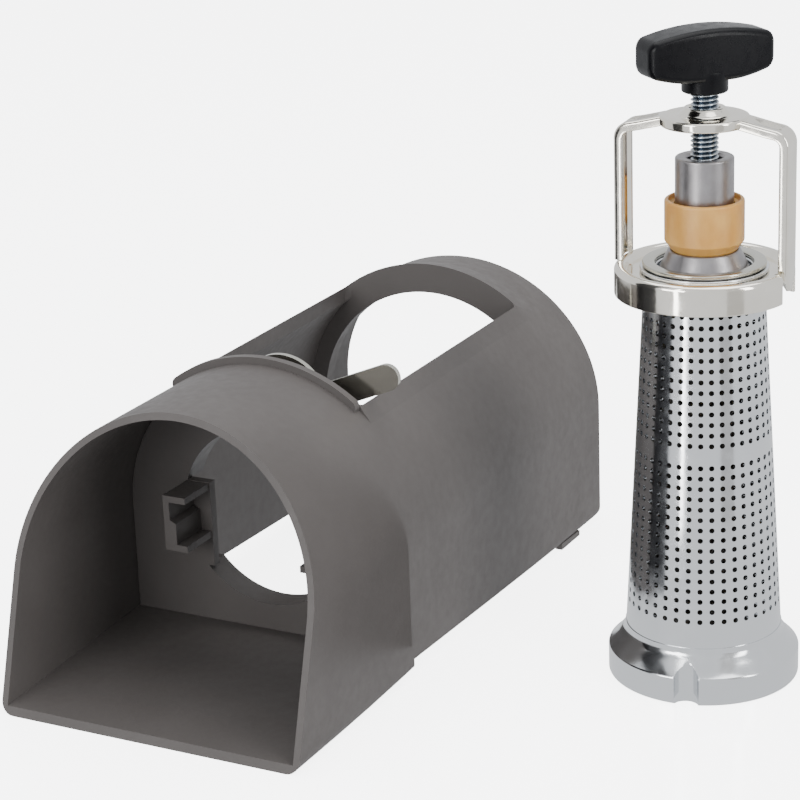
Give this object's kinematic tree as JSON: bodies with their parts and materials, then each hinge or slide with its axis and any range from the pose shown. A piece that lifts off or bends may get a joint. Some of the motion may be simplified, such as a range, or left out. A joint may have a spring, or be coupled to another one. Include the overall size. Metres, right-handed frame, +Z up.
{
  "type": "puree strainer attachment",
  "caption": "Conical perforated strainer with pressure yoke and T-screw, standing beside its moulded catch housing for a kitchen mincer.",
  "frame": {"origin": "on the supporting surface, under the middle of the pair's bounding box", "axes": "+Z up, +Y from the housing's mouth to its back, +X from the housing to the strainer"},
  "size_m": [0.1966, 0.2036, 0.1856],
  "materials": {
    "grey_moulding": "fine matte warm-grey moulding",
    "stainless": "brushed stainless sheet",
    "polished_steel": "polished, slightly wavy",
    "nickel_plate": "bright nickel plate, warm",
    "nylon": "amber, waxy, slightly translucent",
    "turned_steel": "turned grey steel",
    "zinc_plate": "bluish zinc plate",
    "black_handle": "black, satin gloss"
  },
  "bodies": {
    "housing": {"chute": "grey_moulding", "hood": "grey_moulding", "cradle": "grey_moulding", "clip_left": "grey_moulding", "clip_right": "grey_moulding", "foot_left": "grey_moulding", "foot_right": "grey_moulding", "lever_pin": "stainless"},
    "lever": {"lock_lever": "stainless"},
    "strainer": {"base_flange": "polished_steel", "sieve_cone": "polished_steel", "outlet_ring": "polished_steel", "wear_ring": "stainless", "yoke_base": "nickel_plate", "yoke_strap": "nickel_plate"},
    "bush": {"thrust_bush": "turned_steel"},
    "screw": {"pressure_screw": "zinc_plate", "tee_handle": "black_handle"},
    "worm": {"feed_worm": "nylon", "drive_socket": "stainless", "end_cone": "polished_steel"}
  },
  "joints": [
    {"name": "lever_turn", "type": "hinge", "parent": "housing", "child": "lever", "pos_m": [-0.04745, -0.02195, 0.0746], "axis": [0, -1, 0], "range_deg": [-1.5, 140]},
    {"name": "strainer_lift", "type": "slide", "parent": "housing", "child": "strainer", "axis": [0, 0, 1], "range_m": [0, 0.2]},
    {"name": "bush_travel", "type": "slide", "parent": "strainer", "child": "bush", "axis": [0, 0, 1], "range_m": [-0.0025, 0.00375]},
    {"name": "screw_turn", "type": "hinge", "parent": "bush", "child": "screw", "pos_m": [0.07125, 0.00565, 0.16], "axis": [0, 0, 1], "range_deg": [-720, 1080]},
    {"name": "worm_spin", "type": "hinge", "parent": "bush", "child": "worm", "pos_m": [0.07125, 0.00565, 0.06], "axis": [0, 0, 1], "continuous": true}
  ],
  "couplings": [
    {"joint": "screw_turn", "follows": "bush_travel", "rad_per_m": 5026.5}
  ]
}
